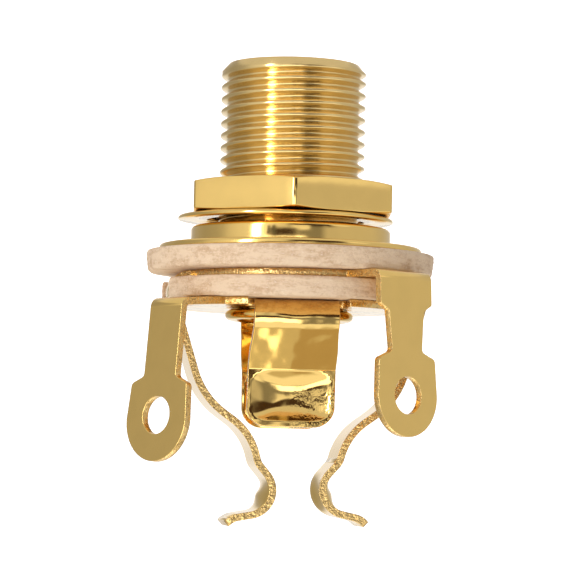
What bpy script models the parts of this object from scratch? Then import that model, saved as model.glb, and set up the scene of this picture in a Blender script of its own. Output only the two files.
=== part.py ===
"""Guitar jack socket: an open-frame panel socket for a 6.35 mm plug, with doubled contacts.

The thread points up (+Z). The origin is on the axis, at the collar's top face, which seats under the panel.
The two ground contacts stand at -Y (front) and +Y, the two tip springs at -X and +X.
"""

import math
from collections import namedtuple

import bmesh
import bpy
from mathutils import Matrix, Vector

MM = 0.001

# Plug and panel
PLUG_DIAMETER = 6.35 * MM
BORE_CLEARANCE = 0.10 * MM
THREAD_DIAMETER = 9.45 * MM
THREAD_LENGTH = 10.7 * MM
LEAD_STEP = 0.42 * MM
LEAD_LENGTH = 0.55 * MM
MOUTH_CHAMFER = 0.35 * MM

# Clearances between neighbours
SEAT_GAP = 0.03 * MM
SLIDING_FIT = 0.04 * MM
THREAD_FIT = 0.06 * MM

# Collar, shank and rolled end of the bushing
COLLAR_DIAMETER = 13.0 * MM
COLLAR_HEIGHT = 1.2 * MM
COLLAR_ROUND = 0.28 * MM
SHANK_DIAMETER = 7.5 * MM
ROLL_WIDTH = 0.42 * MM
ROLL_HEIGHT = 0.7 * MM

# Nut and loose washer
NUT_ACROSS_FLATS = 12.7 * MM
NUT_HEIGHT = 1.95 * MM
NUT_TURN = math.radians(-3.8)
NUT_CHAMFER_ANGLE = math.radians(30)
NUT_CORNER_DROP = 0.28 * MM
NUT_BORE_CHAMFER = 0.3 * MM
WASHER_DIAMETER = 14.0 * MM
WASHER_PLAY = 0.8 * MM
WASHER_THICKNESS = 0.45 * MM
WASHER_LIFT = 0.42 * MM
WASHER_ROUND = 0.12 * MM

# Stack under the collar
PLATE_DIAMETER = 17.1 * MM
PLATE_THICKNESS = 0.42 * MM
PLATE_ROUND = 0.10 * MM
UPPER_FIBRE_DIAMETER = 18.8 * MM
UPPER_FIBRE_THICKNESS = 1.35 * MM
FIBRE_TAPER = 0.15 * MM
FIBRE_ROUND = 0.16 * MM
LOWER_FIBRE_DIAMETER = 17.0 * MM
LOWER_FIBRE_THICKNESS = 1.28 * MM
NOTCH_WIDTH = 5.0 * MM
NOTCH_CORNER = 0.5 * MM
SLEEVE_WALL = 0.40 * MM

# Tip contact: one stamping, turned and set over on the shank
TIP_SHEET = 0.47 * MM
TIP_DISC_DIAMETER = 14.8 * MM
TIP_TURN = math.radians(2)
TIP_SET_OVER = 0.40 * MM
TIP_LUG_AZIMUTH = 35.5
TIP_LUG_REACH = 10.1 * MM
TIP_LUG_SPLAY = 2.8
TIP_LUG_SHOULDER = 1.5 * MM
TIP_LUG_TOP_WIDTH = 4.5 * MM
TIP_LUG_NECK_TOP = 3.05 * MM
TIP_LUG_NECK_WIDTH = 2.65 * MM
TIP_LUG_SHOULDER_WIDTH = 4.9 * MM
TIP_LUG_END_WIDTH = 5.17 * MM
TIP_LUG_NECK = 4.7 * MM
TIP_LUG_LENGTH = 9.8 * MM
SPRING_ROOT = 7.11 * MM
SPRING_WIDTH = 4.4 * MM
SPRING_CORNER = 0.3 * MM
SPRING_FOLD_RADIUS = 1.07 * MM
LEFT_SPRING_FOLD = 107.2
RIGHT_SPRING_FOLD = 104.2
LEFT_SPRING_SLOPE = 5.01 * MM
RIGHT_SPRING_SLOPE = 4.75 * MM
SPRING_BELLY_RADIUS = 5.07 * MM
LEFT_SPRING_BELLY = 37.4
RIGHT_SPRING_BELLY = 40.0
SPRING_REST_LENGTH = 0.74 * MM
SPRING_KNEE_RADIUS = 3.99 * MM
LEFT_SPRING_KNEE = -42.7
RIGHT_SPRING_KNEE = -40.4
SPRING_HEEL_RADIUS = 1.19 * MM
SPRING_HEEL = 28.2
SPRING_HEEL_LENGTH = 0.7 * MM
SPRING_CROWN_RADIUS = 1.58 * MM
SPRING_CROWN = -119.8
SPRING_TAIL_LENGTH = 0.94 * MM
SPRING_CURL_RADIUS = 1.16 * MM
SPRING_CURL = 30.9
SPRING_END_LENGTH = 0.23 * MM
CRADLE_DEPTH = 0.56 * MM

# Ground contact: one stamping
GROUND_SHEET = 0.48 * MM
GROUND_DISC_DIAMETER = 14.8 * MM
GROUND_FLAT = 6.9 * MM
GROUND_LUG_AZIMUTH = -49.5
GROUND_LUG_REACH = 11.05 * MM
GROUND_LUG_SPLAY = 5.4
GROUND_LUG_DROOP = 4.0
GROUND_LUG_DROOP_RADIUS = 2.5 * MM
GROUND_LUG_NECK_WIDTH = 2.85 * MM
GROUND_LUG_SHOULDER_WIDTH = 4.95 * MM
GROUND_LUG_END_WIDTH = 5.3 * MM
GROUND_LUG_NECK = 4.6 * MM
GROUND_LUG_LENGTH = 9.68 * MM
GROUND_LUG_HOLE_RISE = 0.22 * MM
TONGUE_ROOT = 4.75 * MM
TONGUE_WIDTH = 5.4 * MM
TONGUE_LEAN = -0.018
TONGUE_SLOT = 0.5 * MM
TONGUE_BEND_RADIUS = 1.0 * MM
TONGUE_BEND = 127
TONGUE_SLOPE_LENGTH = 3.0 * MM
TONGUE_CREASE_RADIUS = 0.35 * MM
TONGUE_CREASE = -41
PAD_WIDTH = 5.6 * MM
PAD_LENGTH = 3.62 * MM
PAD_CORNER = 1.3 * MM
PAD_END_FLANGE = 0.42 * MM
PAD_SIDE_FLANGE = 0.18 * MM
DISH_CORNER = 1.15 * MM
DISH_WALL = 1.1 * MM
DISH_DEPTH = 0.65 * MM

# Solder lugs
LUG_BEND_RADIUS = 0.40 * MM
LUG_HOLE_DIAMETER = 2.35 * MM
LUG_SHOULDER_SLOPE = 0.45 * MM
LUG_CORNER = 0.22 * MM

SEGMENTS = 48
ROUND_STEPS = 4
BEND_STEP = 14

GOLD = ("gold_plate", (0.86, 0.62, 0.22), 0.16, 1.0)
FIBRE = ("vulcanised_fibre", (0.80, 0.64, 0.52), 0.85, 0.0)

Arm = namedtuple("Arm", "angle root half_reach path lean", defaults=[0.0])
Straight = namedtuple("Straight", "length")
Bend = namedtuple("Bend", "radius degrees")


def spring_path(fold, slope, belly, knee):
    """A tip spring from its disc: down and inwards, round the plug's tip at its crown, and out again."""
    return [
        Bend(SPRING_FOLD_RADIUS, fold),
        Straight(slope),
        Bend(SPRING_BELLY_RADIUS, belly),
        Straight(SPRING_REST_LENGTH),
        Bend(SPRING_KNEE_RADIUS, knee),
        Bend(SPRING_HEEL_RADIUS, SPRING_HEEL),
        Straight(SPRING_HEEL_LENGTH),
        Bend(SPRING_CROWN_RADIUS, SPRING_CROWN),
        Straight(SPRING_TAIL_LENGTH),
        Bend(SPRING_CURL_RADIUS, SPRING_CURL),
        Straight(SPRING_END_LENGTH),
    ]


def clear_scene():
    for obj in list(bpy.data.objects):
        bpy.data.objects.remove(obj)


def principled(name, color, roughness, metallic):
    material = bpy.data.materials.get(name) or bpy.data.materials.new(name)
    material.use_nodes = True
    shader = material.node_tree.nodes["Principled BSDF"]
    shader.inputs["Base Color"].default_value = (*color, 1.0)
    shader.inputs["Roughness"].default_value = roughness
    shader.inputs["Metallic"].default_value = metallic
    return material


def add_object(name, bm, finish, parent, location=(0, 0, 0), turn=0.0):
    """One closed, smooth-shaded piece from bm, placed under its parent."""
    bmesh.ops.recalc_face_normals(bm, faces=bm.faces)
    mesh = bpy.data.meshes.new(name)
    bm.to_mesh(mesh)
    bm.free()
    mesh.shade_smooth()
    mesh.set_sharp_from_angle(angle=math.radians(32))
    mesh.materials.append(principled(*finish))
    obj = bpy.data.objects.new(name, mesh)
    bpy.context.scene.collection.objects.link(obj)
    obj.parent = parent
    obj.location = location
    obj.rotation_euler = (0, 0, turn)
    return obj


def arc(centre, radius, start, end, steps=ROUND_STEPS):
    """Points from start to end degrees round centre. radius is one number, or one along each axis."""
    along, across = radius if isinstance(radius, tuple) else (radius, radius)
    points = []
    for step in range(steps + 1):
        angle = math.radians(start + (end - start) * step / steps)
        points.append((centre[0] + along * math.cos(angle), centre[1] + across * math.sin(angle)))
    return points


def circle(radius, steps=SEGMENTS, centre=(0, 0)):
    return arc(centre, radius, 0, 360, steps)[:-1]


def turned(profile):
    """A closed (radius, height) profile turned about Z."""
    bm = bmesh.new()
    verts = [bm.verts.new((radius, 0, height)) for radius, height in profile]
    edges = [bm.edges.new((verts[i - 1], verts[i])) for i in range(len(verts))]
    bmesh.ops.spin(
        bm,
        geom=verts + edges,
        cent=(0, 0, 0),
        axis=(0, 0, 1),
        angle=math.tau,
        steps=SEGMENTS,
        use_merge=True,
    )
    return bm


def ring_profile(inner, outer, height, rounding, taper=0.0):
    """Washer section with its top at 0, a rounded rim, and a rim that draws in by taper at the bottom."""
    low = outer - taper
    profile = [(inner, 0)]
    profile += arc((outer - rounding, -rounding), rounding, 90, 0)
    profile += arc((low - rounding, rounding - height), rounding, 0, -90)
    profile.append((inner, -height))
    return profile


def sheet(outline, holes, thickness):
    """Flat sheet centred on z = 0, from a plan outline and its holes."""
    bm = bmesh.new()
    edges = []
    for loop in [outline, *holes]:
        verts = [bm.verts.new((x, y, -thickness / 2)) for x, y in loop]
        edges += [bm.edges.new((verts[i - 1], verts[i])) for i in range(len(verts))]
    bmesh.ops.triangle_fill(bm, use_beauty=True, edges=edges)
    grown = bmesh.ops.extrude_face_region(bm, geom=bm.faces[:])
    top = [item for item in grown["geom"] if isinstance(item, bmesh.types.BMVert)]
    bmesh.ops.translate(bm, verts=top, vec=(0, 0, thickness))
    return bm


def frame_at(angle):
    """The outward and the sideways direction at this azimuth, counted in degrees from -Y towards +X."""
    turn = math.radians(angle)
    outward = Vector((math.sin(turn), -math.cos(turn)))
    sideways = Vector((math.cos(turn), math.sin(turn)))
    return outward, sideways


def disc_outline(radius, features):
    """A disc's outline broken by features, each an azimuth and points (outward, sideways) across it.

    The features come in order of azimuth, and so do the points of each one.
    """
    runs = []
    for angle, points in features:
        outward, sideways = frame_at(angle)
        runs.append([outward * along + sideways * across for along, across in points])
    outline = []
    for i, run in enumerate(runs):
        following = runs[(i + 1) % len(runs)][0]
        start = math.atan2(run[-1].y, run[-1].x)
        sweep = (math.atan2(following.y, following.x) - start) % math.tau
        steps = max(1, round(sweep / math.tau * SEGMENTS))
        ends = math.degrees(start), math.degrees(start + sweep)
        outline += [tuple(point) for point in run]
        outline += arc((0, 0), radius, *ends, steps)[1:-1]
    return outline


def mirrored(side):
    """Both sides of a feature, from its side at positive sideways values. A point on its middle stays single."""
    return [(along, -across) for along, across in reversed(side) if across > 0] + side


def rim(radius, across):
    """How far out the disc's rim is at this sideways distance."""
    return math.sqrt(radius**2 - across**2)


def bend_length(bend):
    return bend.radius * math.radians(abs(bend.degrees))


def cut_places(path):
    """The distances along a path at which the sheet needs an edge across it."""
    places = [0.0]
    for part in path:
        start = places[-1]
        if isinstance(part, Straight):
            places.append(start + part.length)
            continue
        steps = max(2, math.ceil(abs(part.degrees) / BEND_STEP))
        places += [start + bend_length(part) * step / steps for step in range(1, steps + 1)]
    return places


def along_path(path, distance):
    """(outward, up, heading) at a distance along the path. Heading 0 is outward, and 90 degrees is down."""
    place = Vector((0.0, 0.0))
    heading = 0.0
    for part in path:
        if isinstance(part, Straight):
            length, turn = part.length, 0.0
        else:
            length, turn = bend_length(part), math.radians(part.degrees)
        done = min(distance, length) if part is not path[-1] else distance
        if turn:
            radius = length / turn
            angle = heading + done / radius
            place += radius * Vector((math.sin(angle) - math.sin(heading), math.cos(angle) - math.cos(heading)))
            heading = angle
        else:
            place += done * Vector((math.cos(heading), -math.sin(heading)))
        distance -= done
        if distance <= 0:
            break
    return place.x, place.y, heading


def arm_place(arm, point):
    """A point's distance past the arm's root, and sideways from its middle."""
    outward, sideways = frame_at(arm.angle)
    flat = Vector(point[:2])
    return flat.dot(outward) - arm.root, flat.dot(sideways)


def in_arm(arm, point, slack=1e-7):
    past, across = arm_place(arm, point)
    return past > slack and abs(across) < arm.half_reach


def cut_arm(bm, arm, distance=None, across=None, beyond=0.0):
    """An edge across the arm at this distance from its root, or along it at this sideways place."""
    outward, sideways = frame_at(arm.angle)
    faces = set()
    for vert in bm.verts:
        if in_arm(arm, vert.co) and arm_place(arm, vert.co)[0] > beyond:
            faces.update(vert.link_faces)
    edges = {edge for face in faces for edge in face.edges}
    verts = {vert for face in faces for vert in face.verts}
    if across is None:
        place, normal = outward * (arm.root + distance), outward
    else:
        place, normal = sideways * across, sideways
    bmesh.ops.bisect_plane(
        bm,
        geom=list(verts) + list(edges) + list(faces),
        dist=1e-7,
        plane_co=place.to_3d(),
        plane_no=normal.to_3d(),
    )


def fold_arm(bm, arm, dish=None):
    """Bends the flat arm along its path. dish gives how far each place is pressed towards the axis."""
    outward, sideways = frame_at(arm.angle)
    for vert in bm.verts:
        if not in_arm(arm, vert.co):
            continue
        past, across = arm_place(arm, vert.co)
        depth = vert.co.z - (dish(past, across) if dish else 0.0)
        out, up, heading = along_path(arm.path, past)
        out += arm.root + depth * math.sin(heading)
        up += depth * math.cos(heading)
        flat = outward * out + sideways * (across + arm.lean * past)
        vert.co = (flat.x, flat.y, up)


def formed(outline, holes, thickness, arms, dishes=None):
    """A stamping: the flat sheet with each arm bent along its path."""
    bm = sheet(outline, holes, thickness)
    dishes = dishes or {}
    for arm in arms:
        for distance in cut_places(arm.path)[:-1]:
            cut_arm(bm, arm, distance=distance)
    for arm in arms:
        dish = dishes.get(arm.angle)
        if dish:
            dish.cut(bm, arm)
        fold_arm(bm, arm, dish.depth_at if dish else None)
    return bm


class Dish:
    """The hollow pressed into a ground contact's pad, with a narrow flat flange round it."""

    def __init__(self, start, length, half_width):
        self.start = start
        self.length = length
        self.half_width = half_width

    def depth_at(self, past, across):
        """A round-cornered pan: its floor is level past the wall's width from the rim."""
        middle = self.start + self.length / 2
        over = max(0.0, abs(across) - (self.half_width - DISH_CORNER))
        down = max(0.0, abs(past - middle) - (self.length / 2 - DISH_CORNER))
        inside = DISH_CORNER - math.hypot(over, down)
        if inside <= 0:
            return 0.0
        share = min(1.0, inside / DISH_WALL)
        return DISH_DEPTH * math.sin(share * math.pi / 2) ** 2

    def cut(self, bm, arm, rows=12, columns=14):
        for row in range(rows + 1):
            cut_arm(bm, arm, distance=self.start + self.length * row / rows)
        for column in range(columns + 1):
            share = 2 * column / columns - 1
            cut_arm(bm, arm, across=share * self.half_width, beyond=self.start + 1e-6)


class Cradle:
    """The groove formed across a spring's crown, pressed away from the axis to fit the plug's neck."""

    def __init__(self, path):
        crown = next(i for i, part in enumerate(path) if isinstance(part, Bend) and part.degrees == SPRING_CROWN)
        self.start = cut_places(path[:crown])[-1]
        self.length = bend_length(path[crown])

    def depth_at(self, past, across):
        down = 2 * (past - self.start) / self.length - 1
        if abs(down) >= 1:
            return 0.0
        over = 2 * across / SPRING_WIDTH
        return -CRADLE_DEPTH * (1 - down**2) ** 2 * (1 - over**2)

    def cut(self, bm, arm, columns=8):
        for column in range(1, columns):
            share = 2 * column / columns - 1
            cut_arm(bm, arm, across=share * SPRING_WIDTH / 2, beyond=self.start - SLIDING_FIT)


def lug_root(reach, thickness):
    """Where the lug starts to bend, from how far out its outer face is."""
    return reach - LUG_BEND_RADIUS - thickness / 2


def rounded_corner(before, corner, after, radius, steps=3):
    """Points of a quadratic round that leaves the corner by radius on both sides."""
    corner = Vector(corner)
    start = corner + (Vector(before) - corner).normalized() * radius
    end = corner + (Vector(after) - corner).normalized() * radius
    points = []
    for step in range(steps + 1):
        share = step / steps
        points.append(tuple(start.lerp(corner, share).lerp(corner.lerp(end, share), share)))
    return points


def lug_side(path, root, neck, neck_width, shoulder_width, end_width):
    """One side of a solder lug from its round end up to its neck, and how far out the end's centre is."""
    flat = root + sum(bend_length(part) for part in path if isinstance(part, Bend))
    flat += sum(part.length for part in path[:-1] if isinstance(part, Straight))
    centre = flat + path[-1].length - end_width / 2
    shoulder = (flat + neck + LUG_SHOULDER_SLOPE / 2, shoulder_width / 2)
    throat = (flat + neck - LUG_SHOULDER_SLOPE / 2, neck_width / 2)
    side = arc((centre, 0), end_width / 2, 0, 90, 10)
    side += rounded_corner(side[-1], shoulder, throat, LUG_CORNER)
    side += rounded_corner(shoulder, throat, (flat, neck_width / 2), LUG_CORNER)
    return side, centre


def lug_hole(angle, centre):
    outward, _ = frame_at(angle)
    return circle(LUG_HOLE_DIAMETER / 2, 20, tuple(outward * centre))


def stack_levels():
    """The top of each piece of the stack under the collar, and the bottom of the last one."""
    pieces = [
        ("plate", PLATE_THICKNESS),
        ("upper_fibre", UPPER_FIBRE_THICKNESS),
        ("tip", TIP_SHEET),
        ("lower_fibre", LOWER_FIBRE_THICKNESS),
        ("ground", GROUND_SHEET),
    ]
    level = -COLLAR_HEIGHT - SEAT_GAP
    levels = {}
    for name, thickness in pieces:
        levels[name] = level
        level -= thickness + SEAT_GAP
    levels["roll"] = level
    return levels


LEVELS = stack_levels()
BORE_RADIUS = PLUG_DIAMETER / 2 + BORE_CLEARANCE
SHANK_HOLE_RADIUS = SHANK_DIAMETER / 2 + SLIDING_FIT
SLEEVE_RADIUS = SHANK_HOLE_RADIUS + SLEEVE_WALL
FIBRE_HOLE_RADIUS = SLEEVE_RADIUS + SLIDING_FIT
TIP_HOLE_RADIUS = SLEEVE_RADIUS + TIP_SET_OVER + SLIDING_FIT


def threaded_bushing(parent):
    thread = THREAD_DIAMETER / 2
    collar = COLLAR_DIAMETER / 2
    shank = SHANK_DIAMETER / 2
    profile = [(BORE_RADIUS + MOUTH_CHAMFER, THREAD_LENGTH), (thread - LEAD_STEP, THREAD_LENGTH)]
    profile += [(thread, THREAD_LENGTH - LEAD_LENGTH), (thread, 0)]
    profile += arc((collar - COLLAR_ROUND, -COLLAR_ROUND), COLLAR_ROUND, 90, 0)
    profile += [(collar, -COLLAR_HEIGHT), (shank, -COLLAR_HEIGHT), (shank, LEVELS["roll"])]
    roll = (shank, LEVELS["roll"] - ROLL_HEIGHT / 2)
    profile += arc(roll, (ROLL_WIDTH, ROLL_HEIGHT / 2), 75, -90, 8)
    profile += [(BORE_RADIUS + SLIDING_FIT, roll[1] - ROLL_HEIGHT / 4), (BORE_RADIUS, LEVELS["roll"])]
    profile.append((BORE_RADIUS, THREAD_LENGTH - MOUTH_CHAMFER))
    return add_object("threaded_bushing", turned(profile), GOLD, parent)


def nut_chamfers(parent, corner):
    """Guide: the turned envelope that takes the hexagon's corners off at both faces."""
    reach = corner + SLIDING_FIT
    face = corner - NUT_CORNER_DROP / math.tan(NUT_CHAMFER_ANGLE)
    drop = (reach - face) * math.tan(NUT_CHAMFER_ANGLE)
    bore = THREAD_DIAMETER / 2 + THREAD_FIT
    profile = [(bore + NUT_BORE_CHAMFER, NUT_HEIGHT), (face, NUT_HEIGHT), (reach, NUT_HEIGHT - drop)]
    profile += [(reach, drop), (face, 0), (bore + NUT_BORE_CHAMFER, 0)]
    profile += [(bore, NUT_BORE_CHAMFER), (bore, NUT_HEIGHT - NUT_BORE_CHAMFER)]
    guide = add_object("nut_envelope", turned(profile), GOLD, parent)
    guide.hide_render = True
    guide.display_type = "WIRE"
    return guide


def hex_nut(parent):
    corner = NUT_ACROSS_FLATS / 2 / math.cos(math.pi / 6)
    outline = [corner * (Matrix.Rotation(math.radians(60 * side), 2) @ Vector((0, -1))) for side in range(6)]
    bm = sheet(outline, [], NUT_HEIGHT + 2 * NUT_BORE_CHAMFER)
    bmesh.ops.translate(bm, verts=bm.verts, vec=(0, 0, NUT_HEIGHT / 2))
    rest = WASHER_LIFT + WASHER_THICKNESS + SEAT_GAP
    nut = add_object("hex_nut", bm, GOLD, parent, location=(0, 0, rest), turn=NUT_TURN)
    chamfer = nut.modifiers.new("corner chamfers", "BOOLEAN")
    chamfer.operation = "INTERSECT"
    chamfer.object = nut_chamfers(nut, corner)
    return nut


def flat_washer(parent):
    """Loose on the thread, so it hangs to one side by its play."""
    bore = (THREAD_DIAMETER + WASHER_PLAY) / 2
    profile = ring_profile(bore, WASHER_DIAMETER / 2, WASHER_THICKNESS, WASHER_ROUND)
    place = (SLIDING_FIT - WASHER_PLAY / 2, 0, WASHER_LIFT + WASHER_THICKNESS)
    return add_object("flat_washer", turned(profile), GOLD, parent, location=place)


def base_plate(parent):
    profile = ring_profile(SHANK_HOLE_RADIUS, PLATE_DIAMETER / 2, PLATE_THICKNESS, PLATE_ROUND)
    return add_object("base_plate", turned(profile), GOLD, parent, location=(0, 0, LEVELS["plate"]))


def upper_fibre_washer(parent):
    profile = ring_profile(
        FIBRE_HOLE_RADIUS, UPPER_FIBRE_DIAMETER / 2, UPPER_FIBRE_THICKNESS, FIBRE_ROUND, FIBRE_TAPER
    )
    place = (0, 0, LEVELS["upper_fibre"])
    return add_object("upper_fibre_washer", turned(profile), FIBRE, parent, location=place)


def lower_fibre_washer(parent):
    """Notched at both sides, so that the tip springs pass down beside it."""
    radius = LOWER_FIBRE_DIAMETER / 2
    half = NOTCH_WIDTH / 2
    floor = SPRING_ROOT - TIP_SET_OVER - SLIDING_FIT
    side = arc((floor + NOTCH_CORNER, half - NOTCH_CORNER), NOTCH_CORNER, 180, 90)
    side.append((rim(radius, half), half))
    notch = mirrored(side)
    turn = math.degrees(TIP_TURN)
    outline = disc_outline(radius, [(90 + turn, notch), (270 + turn, notch)])
    bm = sheet(outline, [circle(FIBRE_HOLE_RADIUS)], LOWER_FIBRE_THICKNESS)
    place = (0, 0, LEVELS["lower_fibre"] - LOWER_FIBRE_THICKNESS / 2)
    return add_object("lower_fibre_washer", bm, FIBRE, parent, location=place)


def insulating_sleeve(parent):
    height = LEVELS["upper_fibre"] - LEVELS["ground"] - SEAT_GAP
    profile = [(SHANK_HOLE_RADIUS, 0), (SLEEVE_RADIUS, 0), (SLEEVE_RADIUS, -height), (SHANK_HOLE_RADIUS, -height)]
    place = (0, 0, LEVELS["upper_fibre"])
    return add_object("insulating_sleeve", turned(profile), FIBRE, parent, location=place)


def spring_feature(path):
    half = SPRING_WIDTH / 2
    end = SPRING_ROOT + cut_places(path)[-1]
    side = arc((end - SPRING_CORNER, half - SPRING_CORNER), SPRING_CORNER, 0, 90)
    side.append((rim(TIP_DISC_DIAMETER / 2, half), half))
    return mirrored(side)


def tip_contact(parent):
    """Disc, two long springs and one lug. Each spring's bulge snaps into the groove behind the plug's tip."""
    radius = TIP_DISC_DIAMETER / 2
    root = lug_root(TIP_LUG_REACH, TIP_SHEET)
    path = [Bend(LUG_BEND_RADIUS, 90 - TIP_LUG_SPLAY), Straight(TIP_LUG_LENGTH)]
    side, centre = lug_side(
        path, root, TIP_LUG_NECK, TIP_LUG_NECK_WIDTH, TIP_LUG_SHOULDER_WIDTH, TIP_LUG_END_WIDTH
    )
    flat = centre - TIP_LUG_LENGTH + TIP_LUG_END_WIDTH / 2
    side.append((flat + TIP_LUG_SHOULDER + LUG_SHOULDER_SLOPE, TIP_LUG_NECK_TOP / 2))
    side.append((flat + TIP_LUG_SHOULDER, TIP_LUG_TOP_WIDTH / 2))
    side.append((rim(radius, TIP_LUG_TOP_WIDTH / 2), TIP_LUG_TOP_WIDTH / 2))
    right = spring_path(RIGHT_SPRING_FOLD, RIGHT_SPRING_SLOPE, RIGHT_SPRING_BELLY, RIGHT_SPRING_KNEE)
    left = spring_path(LEFT_SPRING_FOLD, LEFT_SPRING_SLOPE, LEFT_SPRING_BELLY, LEFT_SPRING_KNEE)
    features = [(TIP_LUG_AZIMUTH, mirrored(side)), (90, spring_feature(right)), (270, spring_feature(left))]
    outline = disc_outline(radius, features)
    holes = [circle(TIP_HOLE_RADIUS), lug_hole(TIP_LUG_AZIMUTH, centre)]
    arms = [
        Arm(TIP_LUG_AZIMUTH, root, TIP_LUG_END_WIDTH, path),
        Arm(90, SPRING_ROOT, SPRING_WIDTH, right),
        Arm(270, SPRING_ROOT, SPRING_WIDTH, left),
    ]
    bm = formed(outline, holes, TIP_SHEET, arms, {90: Cradle(right), 270: Cradle(left)})
    place = (TIP_SET_OVER, 0, LEVELS["tip"] - TIP_SHEET / 2)
    return add_object("tip_contact", bm, GOLD, parent, location=place, turn=TIP_TURN)


def tongue_path():
    return [
        Bend(TONGUE_BEND_RADIUS, TONGUE_BEND),
        Straight(TONGUE_SLOPE_LENGTH),
        Bend(TONGUE_CREASE_RADIUS, TONGUE_CREASE),
        Straight(PAD_LENGTH),
    ]


def tongue_feature(radius):
    """A tongue between two relief slots that reach in from the rim, widening to its pad."""
    half = TONGUE_WIDTH / 2
    slot = TONGUE_SLOT / 2
    places = cut_places(tongue_path())
    end = TONGUE_ROOT + places[-1]
    widening = end - PAD_LENGTH - TONGUE_SLOPE_LENGTH
    side = arc((end - PAD_CORNER, PAD_WIDTH / 2 - PAD_CORNER), PAD_CORNER, 0, 90, 6)
    side += [(widening + TONGUE_SLOPE_LENGTH / 2, PAD_WIDTH / 2), (widening, half)]
    side += arc((TONGUE_ROOT, half + slot), slot, 270, 90)
    side.append((rim(radius, half + TONGUE_SLOT), half + TONGUE_SLOT))
    return mirrored(side)


def ground_contact(parent):
    """Disc, front and rear contacts with dished pads, and one lug. The roll of the shank holds it."""
    radius = GROUND_DISC_DIAMETER / 2
    half_flat = rim(radius, GROUND_FLAT)
    flat = [(GROUND_FLAT, -half_flat), (GROUND_FLAT, half_flat)]
    droop = Bend(GROUND_LUG_DROOP_RADIUS, GROUND_LUG_DROOP)
    fold = Bend(LUG_BEND_RADIUS, 90 - GROUND_LUG_SPLAY - GROUND_LUG_DROOP)
    tab = lug_root(GROUND_LUG_REACH, GROUND_SHEET) - radius - bend_length(droop)
    path = [droop, Straight(tab), fold, Straight(GROUND_LUG_LENGTH)]
    side, centre = lug_side(
        path, radius, GROUND_LUG_NECK, GROUND_LUG_NECK_WIDTH, GROUND_LUG_SHOULDER_WIDTH, GROUND_LUG_END_WIDTH
    )
    side.append((rim(radius, GROUND_LUG_NECK_WIDTH / 2), GROUND_LUG_NECK_WIDTH / 2))
    lug = mirrored(side)
    tongue = tongue_feature(radius)
    features = [(GROUND_LUG_AZIMUTH, lug), (0, tongue), (90, flat), (180, tongue), (270, flat)]
    outline = disc_outline(radius, features)
    holes = [circle(SHANK_HOLE_RADIUS), lug_hole(GROUND_LUG_AZIMUTH, centre - GROUND_LUG_HOLE_RISE)]
    lug_arm = Arm(GROUND_LUG_AZIMUTH, radius, GROUND_LUG_END_WIDTH / 2 + SLIDING_FIT, path)
    reach = (TONGUE_WIDTH / 2 + TONGUE_SLOT) - SLIDING_FIT / 2
    arms = [lug_arm]
    arms += [Arm(angle, TONGUE_ROOT, reach, tongue_path(), TONGUE_LEAN) for angle in (0, 180)]
    pad_start = cut_places(tongue_path())[-1] - PAD_LENGTH
    dish = Dish(pad_start, PAD_LENGTH - PAD_END_FLANGE, PAD_WIDTH / 2 - PAD_SIDE_FLANGE)
    bm = formed(outline, holes, GROUND_SHEET, arms, {0: dish, 180: dish})
    place = (0, 0, LEVELS["ground"] - GROUND_SHEET / 2)
    return add_object("ground_contact", bm, GOLD, parent, location=place)


def main():
    clear_scene()
    socket = bpy.data.objects.new("jack_socket", None)
    socket.empty_display_size = THREAD_DIAMETER
    bpy.context.scene.collection.objects.link(socket)
    threaded_bushing(socket)
    hex_nut(socket)
    flat_washer(socket)
    base_plate(socket)
    upper_fibre_washer(socket)
    tip_contact(socket)
    lower_fibre_washer(socket)
    ground_contact(socket)
    insulating_sleeve(socket)


if __name__ == "__main__":
    main()
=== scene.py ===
"""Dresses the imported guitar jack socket: its thread, formed contacts, gold, fibre and studio.

Shapes are worked out in millimetres, in the part's own frame, and scaled once when each is made.
"""

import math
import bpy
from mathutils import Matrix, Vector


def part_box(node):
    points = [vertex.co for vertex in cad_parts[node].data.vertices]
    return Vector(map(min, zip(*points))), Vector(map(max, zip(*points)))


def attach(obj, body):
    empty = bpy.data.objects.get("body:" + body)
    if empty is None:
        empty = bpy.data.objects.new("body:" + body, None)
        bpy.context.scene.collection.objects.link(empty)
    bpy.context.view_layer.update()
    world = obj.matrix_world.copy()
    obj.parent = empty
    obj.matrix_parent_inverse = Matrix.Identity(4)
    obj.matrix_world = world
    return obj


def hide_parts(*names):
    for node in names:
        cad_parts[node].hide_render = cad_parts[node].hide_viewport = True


bl_info = {
    "name": "Guitar Jack Socket",
    "version": (1, 0, 0),
    "blender": (4, 5, 0),
    "location": "View3D > Sidebar > Jack Socket",
    "description": "Builds a panel jack socket with its thread, contacts, washers and finishes",
    "category": "Add Mesh",
}

from collections import namedtuple

import bmesh
import bpy
from bpy.props import FloatProperty, FloatVectorProperty, IntProperty, PointerProperty
from mathutils import Matrix, Vector, noise

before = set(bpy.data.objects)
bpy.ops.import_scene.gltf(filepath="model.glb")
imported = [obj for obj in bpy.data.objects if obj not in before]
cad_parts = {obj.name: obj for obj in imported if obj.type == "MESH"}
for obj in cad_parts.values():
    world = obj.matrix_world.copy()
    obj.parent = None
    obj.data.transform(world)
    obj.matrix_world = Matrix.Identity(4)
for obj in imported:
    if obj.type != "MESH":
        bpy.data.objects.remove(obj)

MM = 0.001
CAD_SIDES = {"right": (1, 0), "bottom": (0, 2), "top": (1, 2)}
SEAT_GAP = 0.03
SLIDING_FIT = 0.04
THREAD_FIT = 0.06
THREAD_RUN_OUT = 0.35
SLEEVE_WALL = 0.40
DISC_RADIUS = 7.4
TIP_SET_OVER = 0.40
SPRING_ROOT = 7.11


def cad_side(node, side):
    """Where one side of a CAD node's box is, in millimetres."""
    end, axis = CAD_SIDES[side]
    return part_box(node)[end][axis] / MM


def number(name, value, description, **more):
    return FloatProperty(name=name, description=description, default=value, **more)


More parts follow.
